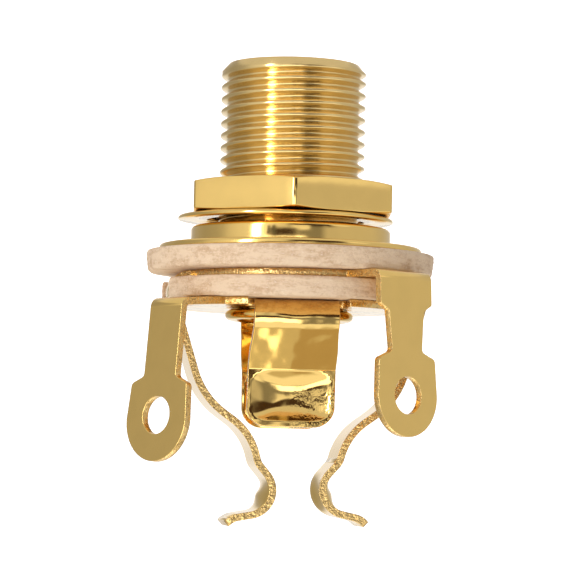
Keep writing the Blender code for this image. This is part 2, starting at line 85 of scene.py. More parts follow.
def length(name, millimetres, description):
    return number(name, millimetres * MM, description, precision=5, unit="LENGTH")


def angle(name, degrees, description):
    return number(name, math.radians(degrees), description, subtype="ANGLE")


def share(name, value, description):
    return number(name, value, description, min=0, max=1, subtype="FACTOR")


def colour(name, value, description):
    return FloatVectorProperty(
        name=name, description=description, default=value, min=0, max=1, subtype="COLOR"
    )


class BushingSizes(bpy.types.PropertyGroup):
    thread: length("Thread", 9.45, "Outer diameter of the thread")
    pitch: length("Pitch", 0.79375, "Distance between two crests, for 32 to the inch")
    depth: length("Depth", 0.43, "Depth of the thread's groove")
    lead_step: length("Lead step", 0.42, "How much the plain lead is under the thread's radius")
    lead: length("Lead", 0.55, "Length of the chamfered lead at the top")
    bore: length("Bore", 6.55, "Diameter of the way for the plug")
    shank: length("Shank", 7.5, "Diameter of the shank under the collar")
    collar: length("Collar", 1.2, "Height of the collar")
    segments: IntProperty(
        name="Segments", description="Steps round the thread", default=160, min=24
    )


class NutSizes(bpy.types.PropertyGroup):
    across: length("Across flats", 12.7, "Distance between two opposite faces")
    corner_drop: length("Corner drop", 0.2, "How far the chamfer comes down each corner")
    corner_round: length("Corner round", 0.32, "Rounding of the six upright edges")
    seat: length("Seat", 0.13, "How far the nut settles onto the loose washer")
    turn: angle("Turn", -3.8, "How far the nut is turned about the thread at rest")


class ContactSizes(bpy.types.PropertyGroup):
    edge: length("Edge", 0.05, "Rounding of the sheared edges")
    bend_step: angle("Bend step", 5, "Longest flat step round a bend")
    dish: length("Dish", 0.65, "Depth of the hollow in each ground contact")
    cradle: length("Cradle", 0.56, "Depth of the groove across each tip spring's crown")


class GoldFinish(bpy.types.PropertyGroup):
    plate: colour("Plate", (0.93, 0.63, 0.205), "Colour of the gold plate")
    # Painted shade: the thread colour is a darker, paler copy of the plate colour, standing in for
    # less light on the thread.
    thread: colour("Thread", (0.85, 0.62, 0.27), "Colour of the plate inside the thread")
    sheared: colour("Sheared edge", (0.85, 0.58, 0.23), "Colour of the plate over torn edges")
    gloss: share("Roughness", 0.1, "Roughness of the bright plate")
    satin: share("Satin", 0.17, "Roughness of the plate on the nut")


class FibreFinish(bpy.types.PropertyGroup):
    pale: colour("Pale", (0.73, 0.55, 0.38), "Colour of the fibre's pale layers")
    dark: colour("Dark", (0.53, 0.34, 0.20), "Colour of its darker layers")


class StageSettings(bpy.types.PropertyGroup):
    distance: length("Distance", 178.6, "The camera's distance from the thread's axis")
    lens: number("Lens", 171.9, "Focal length in millimetres")
    sky: number("Surround", 1.0, "Brightness of the studio's walls", min=0)


class SocketSettings(bpy.types.PropertyGroup):
    bushing: PointerProperty(type=BushingSizes)
    nut: PointerProperty(type=NutSizes)
    contacts: PointerProperty(type=ContactSizes)
    gold: PointerProperty(type=GoldFinish)
    fibre: PointerProperty(type=FibreFinish)
    stage: PointerProperty(type=StageSettings)


def sum_node(operation, swapped=False):
    """A method for one of Python's operators, which adds the Math node for this operation."""

    def method(self, other):
        values = (other, self) if swapped else (self, other)
        return self.board.math(operation, *values)

    return method


class Wire:
    """A node's output that takes part in sums: each sum adds its Math node to the same tree."""

    def __init__(self, board, socket):
        self.board = board
        self.socket = socket

    __add__ = __radd__ = sum_node("ADD")
    __sub__ = sum_node("SUBTRACT")
    __rsub__ = sum_node("SUBTRACT", swapped=True)
    __mul__ = __rmul__ = sum_node("MULTIPLY")
    __truediv__ = sum_node("DIVIDE")
    __rtruediv__ = sum_node("DIVIDE", swapped=True)
    __mod__ = sum_node("FLOORED_MODULO")
    __rmod__ = sum_node("FLOORED_MODULO", swapped=True)

    def __neg__(self):
        return self * -1.0

    def __abs__(self):
        return self.board.math("ABSOLUTE", self)


class Board:
    """A node tree that is being wired up."""

    def __init__(self, tree):
        self.tree = tree

    def node(self, kind, settings=None, inputs=None, output=0):
        """Adds a node: its settings first, then its inputs by index or name. Returns an output."""
        made = self.tree.nodes.new(kind)
        for name, value in (settings or {}).items():
            if name == "stops":
                self.fill_ramp(made.color_ramp, value)
            else:
                setattr(made, name, value)
        for key, value in (inputs or {}).items():
            self.feed(made.inputs[key], value)
        return Wire(self, made.outputs[output])

    def feed(self, socket, value):
        if isinstance(value, Wire):
            self.tree.links.new(value.socket, socket)
        else:
            socket.default_value = value

    def fill_ramp(self, ramp, stops):
        ramp.elements[0].position, ramp.elements[-1].position = stops[0][0], stops[-1][0]
        for position, _ in stops[1:-1]:
            ramp.elements.new(position)
        for element, (_, value) in zip(ramp.elements, stops):
            element.color = (value, value, value, 1)

    def math(self, operation, *values):
        return self.node("ShaderNodeMath", {"operation": operation}, dict(enumerate(values)))

    def smooth(self, value, low, high):
        """0 where the value is at low and 1 where it is at high, eased at both ends."""
        settings = {"interpolation_type": "SMOOTHSTEP"}
        inputs = {0: value, 1: low, 2: high, 3: 0.0, 4: 1.0}
        return self.node("ShaderNodeMapRange", settings, inputs)

    def mix(self, factor, first, second):
        """A mix of two colours, through the sockets that the Mix node keeps for colours."""
        inputs = {0: factor, 6: first, 7: second}
        return self.node("ShaderNodeMix", {"data_type": "RGBA"}, inputs, 2)

    def vector(self, operation, first, second):
        settings = {"operation": operation}
        return self.node("ShaderNodeVectorMath", settings, {0: first, 1: second})

    def place(self):
        return self.node("ShaderNodeTexCoord", output="Object")

    def axes(self, vector):
        parts = self.node("ShaderNodeSeparateXYZ", inputs={0: vector})
        return [Wire(self, output) for output in parts.socket.node.outputs]

    def grain(self, scale, stretch=(1, 1, 1), detail=3.0, rough=0.5):
        """Noise on the piece's own coordinates, with this many cells to the millimetre."""
        cells = tuple(scale * value / MM for value in stretch)
        where = self.vector("MULTIPLY", self.place(), cells)
        inputs = {"Vector": where, "Scale": 1.0, "Detail": detail, "Roughness": rough}
        return self.node("ShaderNodeTexNoise", inputs=inputs)

    def bump(self, height, depth, under=None):
        """A bump whose height of 0 to 1 stands for this depth in millimetres."""
        inputs = {"Height": height, "Distance": depth * MM, "Strength": 1.0}
        if under is not None:
            inputs["Normal"] = under
        return self.node("ShaderNodeBump", inputs=inputs)


def new_finish(name):
    """A fresh material and its board."""
    material = bpy.data.materials.new(name)
    material.use_nodes = True
    return material, Board(material.node_tree)


def dress(board, looks):
    """Feeds a finish's shader with plain values and with what changes over the surface."""
    for name, value in looks.items():
        board.feed(board.tree.nodes["Principled BSDF"].inputs[name], value)


def rgba(value):
    return (*value, 1.0)


def shaded(value, part):
    """A colour darkened to this part of itself."""
    return rgba([channel * part for channel in value])


def lathe_lines(board, under):
    """Fine rings round the axis, which draw reflections out along it."""
    dress(board, {"Anisotropic": 0.85, "Anisotropic Rotation": 0.25})
    rings = board.grain(scale=9.0, stretch=(0.05, 0.05, 1.0), detail=2.0)
    return board.bump(rings, depth=0.007, under=under)


def pressed_waves(board, under):
    """The waves that forming leaves in the tongues, which hang inside the disc's edge."""
    x, y, z = [part / MM for part in board.axes(board.place())]
    inside = board.smooth(x * x + y * y, low=7.8**2, high=7.3**2)
    bowed = board.smooth(abs(x), low=4.0, high=0.0) * inside
    wavy = board.grain(scale=0.5, detail=1.0) * inside
    lower_right = board.smooth(x, low=-0.6, high=1.0) * board.smooth(z, low=-10.2, high=-11.0)
    crumpled = board.grain(scale=5.0, detail=1.0) * inside * lower_right
    for height, depth in ((bowed, 0.3), (wavy, 0.14), (crumpled, 0.022)):
        under = board.bump(height, depth, under)
    return under


def bright_gold(name, plate, roughness, turned=False, pressed=False):
    """Gold plate with an uneven gloss and fine ripples, on turned or pressed brass."""
    material, board = new_finish(name)
    clouds = board.smooth(board.grain(scale=0.9, detail=2.0), low=0.35, high=0.7)
    tint = board.mix(clouds, rgba(plate), shaded(plate, 0.975))
    gloss = roughness + (board.grain(scale=3.0) - 0.5) * 0.06
    relief = board.bump(board.grain(scale=1.6, detail=1.0), depth=0.005)
    if turned:
        relief = lathe_lines(board, relief)
    if pressed:
        relief = pressed_waves(board, relief)
    dress(board, {"Base Color": tint, "Roughness": gloss, "Metallic": 1.0, "Normal": relief})
    return material


def sheared_gold(name, finish):
    """Plate over a torn edge full of pits, which sparkles. The pits are painted darker, as painted
    shade in them.
    """
    material, board = new_finish(name)
    pits = board.grain(scale=7.0, detail=4.0, rough=0.7)
    shaded_pits = board.smooth(pits, low=0.5, high=0.36)
    # Painted shade: the pits are darkened to half the edge's colour; they are also rougher.
    tint = board.mix(shaded_pits, rgba(finish.sheared), shaded(finish.sheared, 0.5))
    gloss = 0.2 + shaded_pits * 0.3
    torn = board.bump(board.grain(scale=4.5, detail=2.0), depth=0.045)
    relief = board.bump(pits, depth=0.014, under=torn)
    dress(board, {"Base Color": tint, "Roughness": gloss, "Metallic": 1.0, "Normal": relief})
    return material


def vulcanised_fibre(name, finish):
    """Layered paper fibre: level layers, blotches and pale flecks."""
    material, board = new_finish(name)
    layers = board.grain(scale=5.0, stretch=(0.16, 0.16, 1.0), detail=3.0, rough=0.55)
    blotches = board.grain(scale=0.9, stretch=(1.0, 1.0, 1.6), detail=4.0, rough=0.6)
    flecks = board.grain(scale=4.5, stretch=(1.0, 1.0, 1.6), detail=3.0, rough=0.6)
    mottled = layers * 0.25 + blotches * 0.4 + flecks * 0.35
    mottled = board.smooth(mottled, low=0.44, high=0.62)
    flecked = board.smooth(flecks, low=0.56, high=0.72) * 0.5
    tint = board.mix(mottled, rgba(finish.pale), rgba(finish.dark))
    tint = board.mix(flecked, tint, rgba((0.93, 0.8, 0.66)))
    relief = board.bump(flecks, depth=0.06, under=board.bump(layers, depth=0.05))
    dress(board, {"Base Color": tint, "Roughness": 0.75 + flecks * 0.2, "Normal": relief})
    return material


def arc(centre, radius, start, end, steps):
    """Points from start to end degrees round centre. radius is a number, or one for each axis."""
    along, across = radius if isinstance(radius, tuple) else (radius, radius)
    points = []
    for step in range(steps + 1):
        turn = math.radians(start + (end - start) * step / steps)
        points.append((centre[0] + along * math.cos(turn), centre[1] + across * math.sin(turn)))
    return points


def circle(radius, steps, centre=(0, 0)):
    return arc(centre, radius, 0, 360, steps)[:-1]


def eased(start, corner, end, steps):
    """Points on the curve from start to end that the corner draws towards itself."""
    points = []
    for step in range(steps + 1):
        part = step / steps
        points.append(tuple(start.lerp(corner, part).lerp(corner.lerp(end, part), part)))
    return points


def rounded_corner(before, corner, after, radius):
    corner = Vector(corner)
    start = corner + (Vector(before) - corner).normalized() * radius
    end = corner + (Vector(after) - corner).normalized() * radius
    return eased(start, corner, end, steps=5)


def lofted(rings):
    """A closed ring-shaped body through rings of points, the last joined to the first."""
    bm = bmesh.new()
    rows = [[bm.verts.new(point) for point in ring] for ring in rings]
    for i, row in enumerate(rows):
        above = rows[i - 1]
        for j in range(len(row)):
            bm.faces.new((above[j - 1], above[j], row[j], row[j - 1]))
    return bm


def spun(profile, segments):
    """The closed profile of (radius, height) turned about Z."""
    rings = []
    for radius, height in profile:
        rings.append([(x, y, height) for x, y in circle(radius, segments)])
    return lofted(rings)


def finished_mesh(name, bm, materials, sharp_angle=40):
    """Scales the shape to metres, with its faces outwards and smooth up to this angle."""
    bmesh.ops.recalc_face_normals(bm, faces=bm.faces)
    bmesh.ops.scale(bm, vec=(MM, MM, MM), verts=bm.verts)
    mesh = bpy.data.meshes.new(name)
    bm.to_mesh(mesh)
    bm.free()
    mesh.shade_smooth()
    mesh.set_sharp_from_angle(angle=math.radians(sharp_angle))
    for material in materials:
        mesh.materials.append(material)
    return mesh


def linked(name, data):
    piece = bpy.data.objects.new(name, data)
    bpy.context.scene.collection.objects.link(piece)
    return piece


def declare(piece, body, node):
    """Says which body the piece rides and the node that it stands for, which it hides."""
    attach(piece, body)
    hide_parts(node)


def apply_modifiers(piece):
    graph = bpy.context.evaluated_depsgraph_get()
    mesh = bpy.data.meshes.new_from_object(piece.evaluated_get(graph))
    piece.modifiers.clear()
    piece.data = mesh


def lathe_tree():
    """Turns a profile's points about Z and cuts a right-hand thread into its barrel."""
    merge_distance, radius_slack, flat_share = 1e-6, 1e-5, 0.08
    tree = bpy.data.node_groups.new("turned and threaded", "GeometryNodeTree")
    board = Board(tree)
    sockets = {"Profile": "Geometry", "Segments": "Int", "Material": "Material"}
    sockets |= {name: "Float" for name in ("Radius", "Pitch", "Depth", "Top", "Run-out")}
    for name, kind in sockets.items():
        tree.interface.new_socket(name, in_out="INPUT", socket_type=f"NodeSocket{kind}")
    tree.interface.new_socket("Geometry", in_out="OUTPUT", socket_type="NodeSocketGeometry")
    given = tree.nodes.new("NodeGroupInput")
    ask = {name: Wire(board, given.outputs[name]) for name in sockets}

    count = {"component": "MESH"}
    rows = board.node("GeometryNodeAttributeDomainSize", count, {0: ask["Profile"]})
    columns = ask["Segments"] + 1
    sizes = {"Size X": 1.0, "Size Y": 1.0, "Vertices X": rows + 1, "Vertices Y": columns}
    grid = board.node("GeometryNodeMeshGrid", inputs=sizes)
    place = board.node("GeometryNodeInputPosition")
    x, y, _ = board.axes(place)
    row = board.math("ROUND", (x + 0.5) * rows) % rows
    turn = (y + 0.5) * math.tau
    settings = {"data_type": "FLOAT_VECTOR", "domain": "POINT"}
    inputs = {"Geometry": ask["Profile"], "Value": place, "Index": row}
    radius, _, height = board.axes(board.node("GeometryNodeSampleIndex", settings, inputs))

    phase = (height / ask["Pitch"] - turn / math.tau) % 1.0
    groove = board.smooth(1.0 - abs(phase * 2.0 - 1.0), low=flat_share, high=1 - flat_share)
    barrel = board.math("COMPARE", radius, ask["Radius"], radius_slack)
    start = board.smooth(ask["Top"] - height, low=0.0, high=ask["Run-out"])
    reach = radius - groove * barrel * start * ask["Depth"]

    across, along = reach * board.math("COSINE", turn), reach * board.math("SINE", turn)
    moved = board.node("ShaderNodeCombineXYZ", inputs={0: across, 1: along, 2: height})
    shape = grid
    for kind, inputs in (
        ("SetPosition", {"Position": moved}),
        ("MergeByDistance", {"Distance": merge_distance}),
        ("RealizeInstances", {}),
        ("SetMaterial", {"Material": ask["Material"]}),
    ):
        shape = board.node(f"GeometryNode{kind}", inputs={"Geometry": shape, **inputs})
    result = tree.nodes.new("NodeGroupOutput")
    tree.links.new(shape.socket, result.inputs[0])
    return tree


def set_inputs(modifier, **values):
    for item in modifier.node_group.interface.items_tree:
        key = item.name.lower().replace("-", "_")
        if item.in_out == "INPUT" and key in values:
            modifier[item.identifier] = values[key]


class JACK_OT_bushing(bpy.types.Operator):
    """Turn the bushing and cut its thread"""

    bl_idname = "jack.bushing"
    bl_label = "Threaded bushing"

    def profile(self, sizes):
        """The bushing's closed section, down its outside and back up its bore."""
        top = cad_side("threaded_bushing", "top")
        collar = cad_side("threaded_bushing", "right")
        thread, bore, shank = sizes.thread / MM / 2, sizes.bore / MM / 2, sizes.shank / MM / 2
        lead, step, height = sizes.lead / MM, sizes.lead_step / MM, sizes.collar / MM
        mouth, lip, nose, bevel, row_height = 0.35, 0.06, 0.1, 0.2, 0.05
        shoulder, heel, undercut, undercut_depth = 0.28, 0.08, 0.1, 0.002
        roll_width, roll_height, flare, flare_height = 0.42, 0.7, 0.04, 0.525
        roll = cad_side("threaded_bushing", "bottom") + roll_height
        profile = arc((bore + mouth, top - lip), lip, 150, 90, 3)
        profile += arc((thread - step - nose, top - nose), nose, 90, 20, 4)
        rows = round((top - lead) / row_height)
        profile += [(thread, (top - lead) * (1 - row / rows)) for row in range(rows)]
        profile += [(thread, 0.0), (thread + undercut, -undercut_depth)]
        profile += arc((collar - shoulder, -shoulder), shoulder, 90, 0, 6)
        profile += arc((collar - heel, heel - height), heel, 0, -90, 4)
        profile += [(shank, -height), (shank, roll)]
        profile += arc((shank, roll - roll_height / 2), (roll_width, roll_height / 2), 75, -90, 12)
        profile += [(bore + flare, roll - flare_height), (bore, roll)]
        profile += [(bore, top - mouth), (bore + bevel, top - nose)]
        return profile

    def execute(self, context):
        settings = context.scene.jack_socket
        sizes = settings.bushing
        # The thread gets the darker thread colour, which is painted shade; the collar keeps the
        # plain plate colour.
        threaded = bright_gold("bushing_gold", settings.gold.thread, roughness=0.18, turned=True)
        polished = bright_gold("collar_gold", settings.gold.plate, settings.gold.gloss)
        mesh = bpy.data.meshes.new("bushing profile")
        points = [(radius * MM, 0, height * MM) for radius, height in self.profile(sizes)]
        mesh.from_pydata(points, [], [])
        piece = linked("bushing_with_thread", mesh)
        modifier = piece.modifiers.new("lathe", "NODES")
        modifier.node_group = lathe_tree()
        set_inputs(
            modifier,
            segments=sizes.segments,
            radius=sizes.thread / 2,
            pitch=sizes.pitch,
            depth=sizes.depth,
            top=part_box("threaded_bushing")[1].z - sizes.lead,
            run_out=THREAD_RUN_OUT * MM,
            material=threaded,
        )
        apply_modifiers(piece)
        bm = bmesh.new()
        bm.from_mesh(piece.data)
        bmesh.ops.remove_doubles(bm, verts=bm.verts, dist=1e-7)
        bmesh.ops.scale(bm, vec=(1 / MM, 1 / MM, 1 / MM), verts=bm.verts)
        collar_starts = -0.02
        for face in bm.faces:
            face.material_index = int(face.calc_center_median().z < collar_starts)
        piece.data = finished_mesh("bushing_with_thread", bm, [threaded, polished], sharp_angle=50)
        declare(piece, "socket", "threaded_bushing")
        return {"FINISHED"}


class JACK_OT_nut(bpy.types.Operator):
    """Make the hexagonal nut with its chamfered corners"""

    bl_idname = "jack.nut"
    bl_label = "Hexagonal nut"

    def section(self, wall, flat, slope, bore, low, high):
        """The nut's section out to this wall, from its bore over its top and back underneath."""
        edge, corner, ease, inset, margin = 0.06, 0.06 * 0.3, 0.003, 0.03, 0.01
        chamfer, lower = 0.3, 0.6
        drop = max(0.0, wall - flat) * slope
        rise = drop * lower
        lift = edge * slope * (drop > 0)
        face = min(flat, wall - edge - margin)
        return [
            (bore, high - chamfer),
            (bore + chamfer, high),
            (face - inset, high),
            (face, high - ease),
            (wall - edge, high - drop + lift),
            (wall - corner, high - drop - corner),
            (wall, high - drop - edge),
            (wall, low + rise + edge),
            (wall - corner, low + rise + corner),
            (wall - edge, low + rise - lift * lower),
            (face, low + ease),
            (face - inset, low),
            (bore + chamfer, low),
            (bore, low + chamfer),
        ]

    def execute(self, context):
        settings = context.scene.jack_socket
        sizes = settings.nut
        low, high = cad_side("hex_nut", "bottom") - sizes.seat / MM, cad_side("hex_nut", "top")
        half, corner_round = sizes.across / MM / 2, sizes.corner_round / MM
        side, half_side = math.pi / 3, math.pi / 6
        centre = (half - corner_round) / math.cos(half_side)
        tangent = math.atan2(corner_round / 2, centre + corner_round * math.cos(half_side))
        crown, corner_steps, side_steps = 0.15, 4, 14
        flat = half + crown
        slope = sizes.corner_drop / MM / (centre + corner_round - flat)
        bore = settings.bushing.thread / MM / 2 + THREAD_FIT
        places = [tangent * k / corner_steps for k in range(-corner_steps, corner_steps + 1)]
        between = (side - 2 * tangent) / side_steps
        places += [tangent + between * k for k in range(1, side_steps)]
        sections = []
        for turn in [side * corner + place for corner in range(6) for place in places]:
            from_corner = (turn + half_side) % side - half_side
            wall = half / math.cos(half_side - abs(from_corner))
            if abs(from_corner) < tangent:
                sideways = centre * math.sin(from_corner)
                wall = centre * math.cos(from_corner) + math.sqrt(corner_round**2 - sideways**2)
            place = turn + sizes.turn - math.pi / 2
            spots = self.section(wall, flat, slope, bore, low, high)
            sections.append([(r * math.cos(place), r * math.sin(place), z) for r, z in spots])
        gold = bright_gold("nut_gold", settings.gold.plate, settings.gold.satin)
        mesh = finished_mesh("panel_nut", lofted(zip(*sections)), [gold], sharp_angle=35)
        declare(linked("panel_nut", mesh), "nut", "hex_nut")
        return {"FINISHED"}


class JACK_OT_washers(bpy.types.Operator):
    """Make the loose washer and the plate under the collar"""

    bl_idname = "jack.washers"
    bl_label = "Metal washers"

    def ring(self, node, bore, roll_over, thinner=0.0, tilt=0.0):
        """A stamped ring. The punch has drawn its top edge down over the width roll_over."""
        chamfer, lip, burr, burr_height, burr_width = 0.05, 0.1, 0.01, 0.03, 0.04
        low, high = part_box(node)[0] / MM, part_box(node)[1] / MM
        high.z -= thinner
        outer, middle = (high.x - low.x) / 2, (high.x + low.x) / 2
        corner = Vector((outer, high.z))
        start, end = Vector((outer - roll_over, high.z)), Vector((outer, low.z + lip))
        profile = [(bore, high.z - chamfer), (bore + chamfer, high.z)]
        profile += eased(start, corner, end, steps=8)
        profile += [(outer - burr, low.z + burr_height), (outer - burr_width, low.z)]
        profile += [(bore + chamfer, low.z), (bore, low.z + chamfer)]
        bm = spun(profile, segments=160)
        centre = Vector((0, 0, (low.z + high.z) / 2))
        lean = Matrix.Rotation(math.radians(tilt), 3, "X")
        bmesh.ops.rotate(bm, verts=bm.verts, cent=centre, matrix=lean)
        bmesh.ops.translate(bm, verts=bm.verts, vec=(middle, 0, 0))
        return bm

    def execute(self, context):
        settings = context.scene.jack_socket
        play = 0.4
        bore = settings.bushing.thread / MM / 2 + play
        shank = settings.bushing.shank / MM / 2 + SLIDING_FIT
        loose = bright_gold("washer_gold", settings.gold.plate, settings.gold.gloss)
        plate = bright_gold("plate_gold", settings.gold.plate, settings.gold.gloss + 0.04)
        bm = self.ring("flat_washer", bore, roll_over=0.5, thinner=0.14, tilt=0.3)
        mesh = finished_mesh("loose_washer", bm, [loose], sharp_angle=50)
        declare(linked("loose_washer", mesh), "washer", "flat_washer")
        bm = self.ring("base_plate", shank, roll_over=0.2)
        mesh = finished_mesh("collar_plate", bm, [plate], sharp_angle=50)
        declare(linked("collar_plate", mesh), "socket", "base_plate")
        return {"FINISHED"}


def slab(outline, holes, heights):
    """A thick plate with rows of faces up its edges, from its outline and holes."""
    bm = bmesh.new()
    edges = []
    for loop in [outline, *holes]:
        verts = [bm.verts.new((x, y, heights[0])) for x, y in loop]
        edges += [bm.edges.new((verts[i - 1], verts[i])) for i in range(len(verts))]
    bmesh.ops.triangle_fill(bm, use_beauty=True, edges=edges)
    faces = bm.faces[:]
    for low, high in zip(heights, heights[1:]):
        grown = bmesh.ops.extrude_face_region(bm, geom=faces)["geom"]
        if low > heights[0]:
            # The faces that an inner row grew from would be left as a sheet inside the plate.
            bmesh.ops.delete(bm, geom=faces, context="FACES")
        verts = [item for item in grown if isinstance(item, bmesh.types.BMVert)]
        faces = [item for item in grown if isinstance(item, bmesh.types.BMFace)]
        bmesh.ops.translate(bm, verts=verts, vec=(0, 0, high - low))
    return bm


def directions(turn):
    """Outward and sideways at this azimuth, counted in degrees from -Y towards +X."""
    turn = math.radians(turn)
    outward = Vector((math.sin(turn), -math.cos(turn)))
    sideways = Vector((math.cos(turn), math.sin(turn)))
    return outward, sideways


def disc_outline(radius, features, segments=160):
    """A disc's outline broken by features, each an azimuth and (outward, sideways) points."""
    runs = []
    for turn, points in features:
        outward, sideways = directions(turn)
        runs.append([outward * along + sideways * across for along, across in points])
    outline = []
    for i, run in enumerate(runs):
        following = runs[(i + 1) % len(runs)][0]
        start = math.atan2(run[-1].y, run[-1].x)
        sweep = (math.atan2(following.y, following.x) - start) % math.tau
        steps = max(1, round(sweep / math.tau * segments))
        ends = math.degrees(start), math.degrees(start + sweep)
        outline += [tuple(point) for point in run]
        outline += arc((0, 0), radius, *ends, steps)[1:-1]
    return outline


def mirrored(side):
    """Both sides of a feature, from its positive side. A point on its middle stays single."""
    return [(along, -across) for along, across in reversed(side) if across > 0] + side


def rim(radius, across):
    """How far out a disc's rim is, this far sideways from a feature's middle."""
    return math.sqrt(radius**2 - across**2)


class JACK_OT_fibre_washers(bpy.types.Operator):
    """Make the two fibre washers with their torn layers"""

    bl_idname = "jack.fibre_washers"
    bl_label = "Fibre washers"

    def dense(self, points, step=0.11):
        """The closed outline with a point at least every step."""
        out = []
        for i, point in enumerate(points):
            before = Vector(points[i - 1])
            count = max(1, round((Vector(point) - before).length / step))
            out += [tuple(before.lerp(Vector(point), (k + 1) / count)) for k in range(count)]
        return out

    def uneven(self, place, along, through, offset=0):
        """Noise that changes at one rate along the layers and at another through them."""
        return noise.noise(Vector((place.x * along, place.y * along, place.z * through + offset)))

    def washer(self, node, outline, bore, draw_in, material, name):
        """A thick washer. Its edge is torn in layers and drawn in towards the bottom."""
        rows, untouched, sunk = 14, 0.3, 0.03
        low, high = cad_side(node, "bottom"), cad_side(node, "top")
        heights = [low + (high - low) * row / rows for row in range(rows + 1)]
        bm = slab(self.dense(outline), [circle(bore, 96)], heights)
        for vert in bm.verts:
            flat = Vector((vert.co.x, vert.co.y))
            if flat.length < bore + untouched:
                continue
            over = (vert.co.z - low) / (high - low)
            layers = 0.035 * self.uneven(vert.co, along=0.6, through=7)
            fine = 0.02 * self.uneven(vert.co, along=3.1, through=9, offset=5)
            rounded = 0.1 * abs(2 * over - 1) ** 8
            inward = draw_in * (1 - over) + sunk + layers + fine + rounded
            flat -= flat.normalized() * max(inward, 0.0)
            vert.co.x, vert.co.y = flat
        mesh = finished_mesh(name, bm, [material], sharp_angle=60)
        declare(linked(name, mesh), "socket", node)

    def execute(self, context):
        settings = context.scene.jack_socket
        fibre = vulcanised_fibre("fibre_layers", settings.fibre)
        bore = settings.bushing.shank / MM / 2 + SLEEVE_WALL + 2 * SLIDING_FIT
        upper = circle(cad_side("upper_fibre_washer", "right"), 240)
        self.washer("upper_fibre_washer", upper, bore, 0.15, fibre, "thick_fibre_washer")
        radius, half, corner = 8.5, 2.5, 0.5
        floor = SPRING_ROOT - TIP_SET_OVER - SLIDING_FIT
        side = arc((floor + corner, half - corner), corner, 180, 90, 5)
        side.append((rim(radius, half), half))
        notch = mirrored(side)
        lower = disc_outline(radius, [(92, notch), (272, notch)], segments=240)
        self.washer("lower_fibre_washer", lower, bore, 0.0, fibre, "notched_fibre_washer")
        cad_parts["insulating_sleeve"].material_slots[0].material = fibre
        return {"FINISHED"}


Arm = namedtuple("Arm", "angle root half_reach path lean", defaults=[0.0])
Straight = namedtuple("Straight", "length")
Bend = namedtuple("Bend", "radius degrees")


def bend_length(bend):
    return bend.radius * math.radians(abs(bend.degrees))


def cut_places(path, step=5):
    """Where a path's runs start and end, with its bends cut into steps of this many degrees."""
    places = [0.0]
    for part in path:
        start = places[-1]
        if isinstance(part, Straight):
            places.append(start + part.length)
            continue
        steps = max(2, math.ceil(abs(part.degrees) / step))
        places += [start + bend_length(part) * k / steps for k in range(1, steps + 1)]
    return places


def along_path(path, distance):
    """Outward, up and heading this far along. Heading 0 is outward, and a quarter turn is down."""
    place = Vector((0.0, 0.0))
    heading = 0.0
    for part in path:
        if isinstance(part, Straight):
            size, turn = part.length, 0.0
        else:
            size, turn = bend_length(part), math.radians(part.degrees)
        done = min(distance, size) if part is not path[-1] else distance
        if turn:
            radius = size / turn
            ahead = heading + done / radius
            outward = math.sin(ahead) - math.sin(heading)
            upward = math.cos(ahead) - math.cos(heading)
            place += radius * Vector((outward, upward))
            heading = ahead
        else:
            place += done * Vector((math.cos(heading), -math.sin(heading)))
        distance -= done
        if distance <= 0:
            break
    return place.x, place.y, heading


def arm_place(arm, point):
    """A point's distance past the arm's root, and sideways from its middle."""
    outward, sideways = directions(arm.angle)
    flat = Vector(point[:2])
    return flat.dot(outward) - arm.root, flat.dot(sideways)


def in_arm(arm, point, slack=1e-4):
    past, across = arm_place(arm, point)
    return past > slack and abs(across) < arm.half_reach


def cut_arm(bm, arm, distance=None, across=None, beyond=0.0):
    """An edge across the arm at this distance from its root, or along it at this sideways place."""
    outward, sideways = directions(arm.angle)
    faces = set()
    for vert in bm.verts:
        if in_arm(arm, vert.co) and arm_place(arm, vert.co)[0] > beyond:
            faces.update(vert.link_faces)
    edges = {edge for face in faces for edge in face.edges}
    verts = {vert for face in faces for vert in face.verts}
    if across is None:
        place, normal = outward * (arm.root + distance), outward
    else:
        place, normal = sideways * across, sideways
    bmesh.ops.bisect_plane(
        bm,
        geom=list(verts) + list(edges) + list(faces),
        dist=1e-4,
        plane_co=place.to_3d(),
        plane_no=normal.to_3d(),
    )


def fold_arm(bm, arm, press=None):
    """Bends the flat arm along its path. press gives how far a place is pressed to the axis."""
    outward, sideways = directions(arm.angle)
    for vert in bm.verts:
        if not in_arm(arm, vert.co):
            continue
        past, across = arm_place(arm, vert.co)
        depth = vert.co.z - (press(past, across) if press else 0.0)
        out, up, heading = along_path(arm.path, past)
        out += arm.root + depth * math.sin(heading)
        up += depth * math.cos(heading)
        flat = outward * out + sideways * (across + arm.lean * past)
        vert.co = (flat.x, flat.y, up)


class Dish(namedtuple("Dish", "start size half_width depth")):
    """The hollow pressed into a ground contact's pad, with a narrow flat flange round it."""

    squareness = 4
    wall_power = 2.2

    def depth_at(self, past, across):
        over = abs(across) / self.half_width
        down = abs(2 * (past - self.start) / self.size - 1)
        reach = (over**self.squareness + down**self.squareness) ** (1 / self.squareness)
        return self.depth * max(0.0, 1 - reach**self.wall_power)

    def cut(self, bm, arm, rows=26, columns=34):
        for row in range(rows + 1):
            cut_arm(bm, arm, distance=self.start + self.size * row / rows)
        for column in range(columns + 1):
            place = 2 * column / columns - 1
            cut_arm(bm, arm, across=place * self.half_width, beyond=self.start + 1e-3)


class Cradle(namedtuple("Cradle", "start size half_width depth")):
    """The groove across a spring's crown, pressed away from the axis to fit the plug's neck."""

    def depth_at(self, past, across):
        down = 2 * (past - self.start) / self.size - 1
        if abs(down) >= 1:
            return 0.0
        over = across / self.half_width
        return -self.depth * (1 - down**2) ** 2 * (1 - over**2)

    def cut(self, bm, arm, columns=14):
        for column in range(1, columns):
            place = 2 * column / columns - 1
            cut_arm(bm, arm, across=place * self.half_width, beyond=self.start - 0.05)


